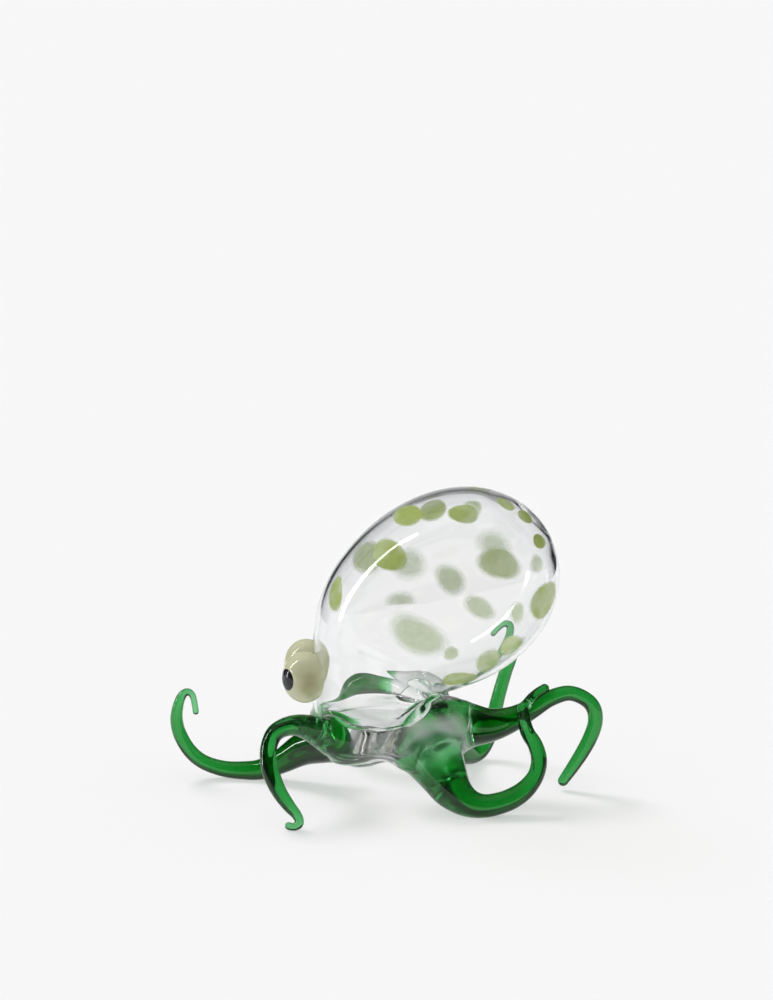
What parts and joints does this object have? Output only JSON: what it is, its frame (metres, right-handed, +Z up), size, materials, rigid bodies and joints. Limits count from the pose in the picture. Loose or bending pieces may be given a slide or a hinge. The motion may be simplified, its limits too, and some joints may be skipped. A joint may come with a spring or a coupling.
{
  "type": "octopus figurine",
  "caption": "Glass octopus figurine with a hollow egg-shaped mantle, inlaid frit spots and bead eyes, standing on the curled arms around a solid hub",
  "frame": {"origin": "middle of the figure's footprint box, on the floor that the arms stand on", "axes": "+Z up; the octopus faces -X and leans back towards +X; its left side is -Y"},
  "size_m": [0.1736, 0.1152, 0.1229],
  "materials": {
    "clear_glass": "fire-polished gloss",
    "green_glass": "fire-polished gloss",
    "frit_glass": "fire-polished gloss",
    "opal_glass": "fire-polished gloss",
    "black_glass": "fire-polished gloss"
  },
  "bodies": {
    "root": {"mantle": "clear_glass", "hub": "clear_glass", "front_arm": "green_glass", "front_left_arm": "green_glass", "front_right_arm": "green_glass", "rear_arm": "green_glass", "rear_left_arm": "green_glass", "rear_right_arm": "green_glass", "left_eye": "opal_glass", "left_pupil": "black_glass", "right_eye": "opal_glass", "right_pupil": "black_glass", "frit_spot_01": "frit_glass", "frit_spot_02": "frit_glass", "frit_spot_03": "frit_glass", "frit_spot_04": "frit_glass", "frit_spot_05": "frit_glass", "frit_spot_06": "frit_glass", "frit_spot_07": "frit_glass", "frit_spot_08": "frit_glass", "frit_spot_09": "frit_glass", "frit_spot_10": "frit_glass", "frit_spot_11": "frit_glass", "frit_spot_12": "frit_glass", "frit_spot_13": "frit_glass", "frit_spot_14": "frit_glass", "frit_spot_15": "frit_glass", "frit_spot_16": "frit_glass", "frit_spot_17": "frit_glass", "frit_spot_18": "frit_glass", "frit_spot_19": "frit_glass", "frit_spot_20": "frit_glass", "frit_spot_21": "frit_glass", "frit_spot_22": "frit_glass", "frit_spot_23": "frit_glass", "frit_spot_24": "frit_glass", "frit_spot_25": "frit_glass"}
  },
  "joints": []
}
